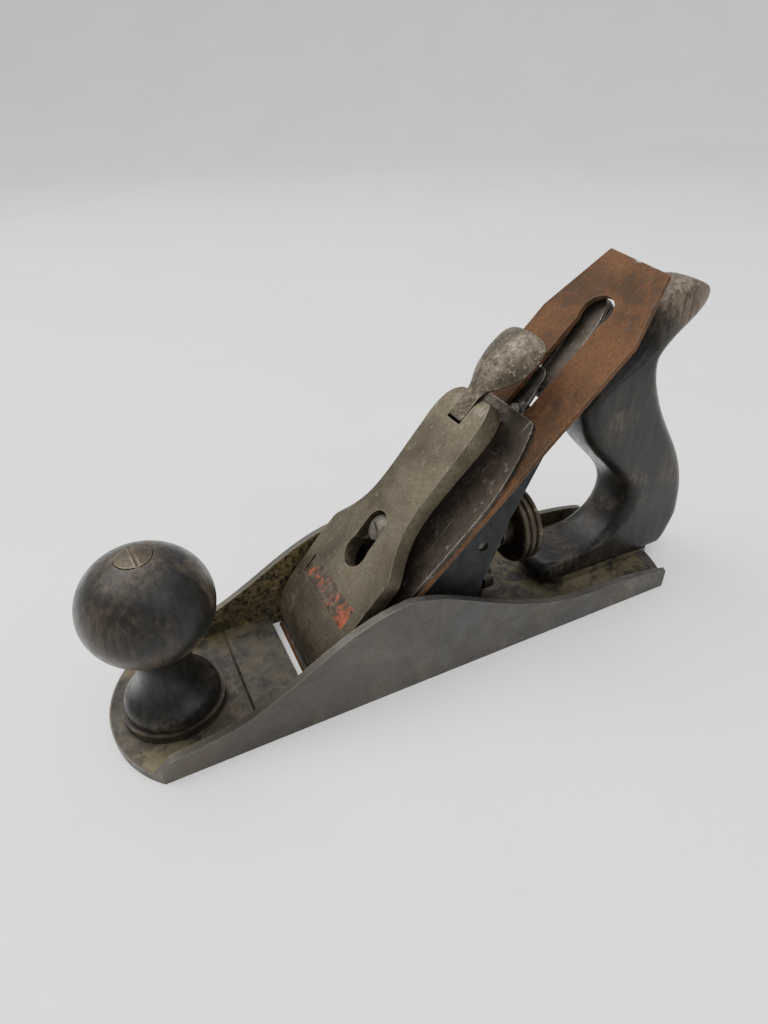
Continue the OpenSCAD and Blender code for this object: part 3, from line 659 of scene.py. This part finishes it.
def make_floor():
    """A white table top that sweeps up behind the plane."""
    m = Mat("table_paint")
    broad = m.noise(160.0, 5, 0.6)
    fine = m.noise(7.0, 6, 0.65)
    color = m.mix(m.step(broad, 0.3, 0.7), (0.85, 0.85, 0.835), (0.90, 0.90, 0.885))
    color = m.mix(m.mul(m.step(fine, 0.60, 0.70), 0.10), color, (0.45, 0.44, 0.42))
    m.done(color, m.blend(m.step(fine, 0.3, 0.7), 0.42, 0.56), 0.0, m.bump(fine, 0.10))
    # a flat disc, a quarter round up to a wall, and the wall
    profile = [(0.02, 0), (0.6, 0), (FLAT, 0)]
    for degrees in range(6, 91, 6):
        a = math.radians(degrees)
        profile.append((FLAT + SWEEP * math.sin(a), SWEEP - SWEEP * math.cos(a)))
    profile.append((FLAT + SWEEP, WALL_TOP))
    n = 96
    bm = bmesh.new()
    loops = [[bm.verts.new((p, q, z)) for p, q in circle(radius, n)] for radius, z in profile]
    bm.faces.new(loops[0])
    for low, high in zip(loops, loops[1:]):
        for i in range(n):
            bm.faces.new((low[i], low[(i + 1) % n], high[(i + 1) % n], high[i])).smooth = True
    mesh = bpy.data.meshes.new("floor")
    bm.to_mesh(mesh)
    bm.free()
    floor = bpy.data.objects.new("floor", mesh)
    mesh.materials.append(m.mat)
    bpy.context.scene.collection.objects.link(floor)


make_floor()


def area_light(name, place, aim, size, power, tint=(1, 1, 1)):
    data = bpy.data.lights.new(name, "AREA")
    data.shape = "RECTANGLE"
    data.size, data.size_y = size
    data.energy = power
    data.color = tint
    obj = bpy.data.objects.new(name, data)
    obj.location = place
    obj.rotation_euler = (Vector(aim) - Vector(place)).to_track_quat("-Z", "Y").to_euler()
    bpy.context.scene.collection.objects.link(obj)


area_light("key", (-0.55, 0.55, 1.1), (0, 0, 0.03), (1.3, 0.9), 17.0, (1.0, 0.98, 0.95))
area_light("fill", (0.5, -0.9, 0.9), (0, 0, 0.03), (0.9, 0.9), 4.5, (0.97, 0.98, 1.0))
area_light("top", (0.1, 0.0, 1.5), (0, 0, 0), (2.2, 2.2), 32.0)
world = bpy.data.worlds.new("studio")
world.use_nodes = True
sky = world.node_tree.nodes["Background"]
sky.inputs["Color"].default_value = (0.72, 0.74, 0.78, 1)
sky.inputs["Strength"].default_value = 0.75
bpy.context.scene.world = world

cam_data = bpy.data.cameras.new("camera")
cam_data.sensor_fit = "VERTICAL"
cam_data.sensor_height = 36.0
cam_data.lens = 23.19258
cam_data.clip_start = 0.01
camera = bpy.data.objects.new("camera", cam_data)
bpy.context.scene.collection.objects.link(camera)
# The camera's right, up and viewing directions
right = Vector((0.89884273, -0.43770747, -0.02222436))
up = Vector((0.26267529, 0.49743069, 0.82677953))
forward = Vector((0.3508325, 0.74898256, -0.5620869))
turn = Matrix((right, up, -forward)).transposed().to_4x4()
camera.matrix_world = Matrix.Translation((-0.098, -0.18639, 0.20247)) @ turn
bpy.context.scene.camera = camera
